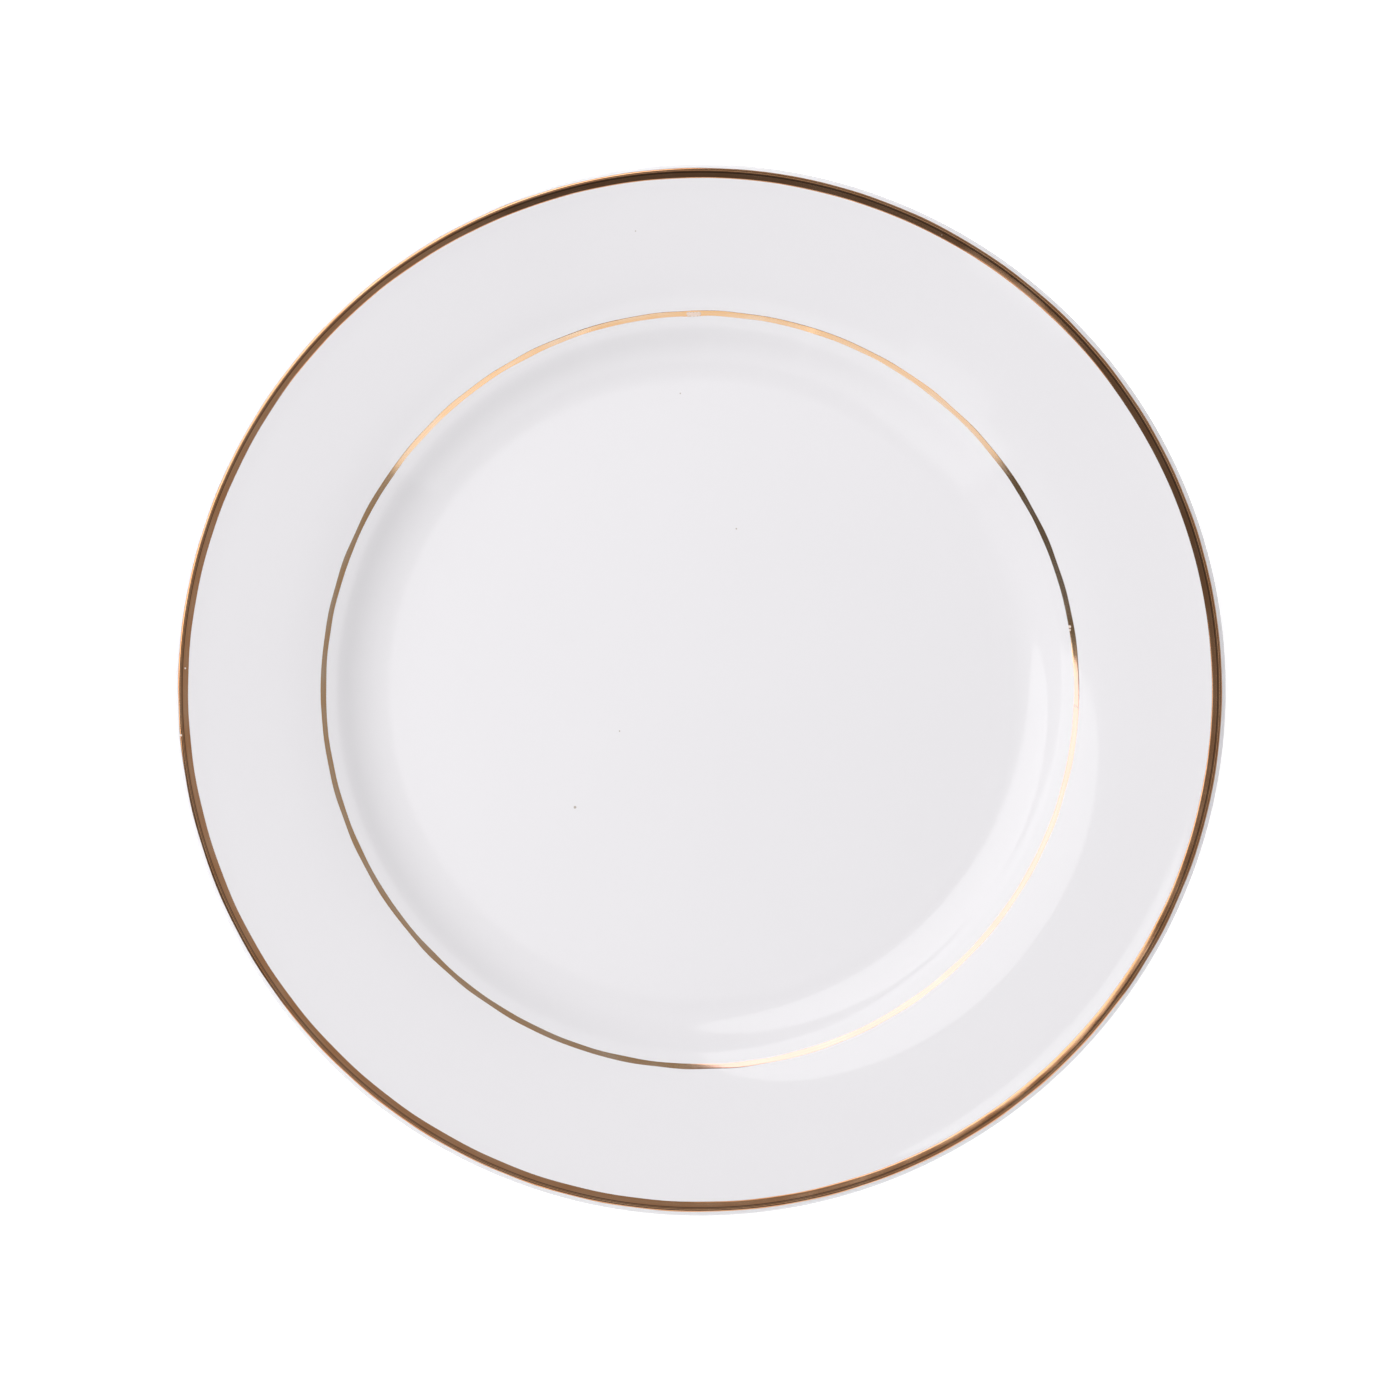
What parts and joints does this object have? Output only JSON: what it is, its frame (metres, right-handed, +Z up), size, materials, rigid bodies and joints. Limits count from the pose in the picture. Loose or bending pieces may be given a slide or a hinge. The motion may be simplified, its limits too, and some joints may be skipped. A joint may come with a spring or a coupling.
{
  "type": "china dinner plate",
  "caption": "Round china dinner plate with a flat well, a sloping rim, a foot ring, a gilt band on the lip and a gilt line round the well's verge.",
  "frame": {"origin": "centre of the circle that the foot ring stands on, in the plane of its bearing edge", "axes": "+Z up along the plate's axis, from the foot ring towards the face; X and Y lie in the bearing plane and are alike"},
  "size_m": [0.27, 0.27, 0.0199],
  "materials": {
    "china": "matte",
    "glaze": "gloss",
    "gilding": "polished"
  },
  "bodies": {
    "root": {"china_body": "china", "face_glaze": "glaze", "recess_glaze": "glaze", "gold_rim_band": "gilding", "gold_verge_line": "gilding"}
  },
  "joints": []
}
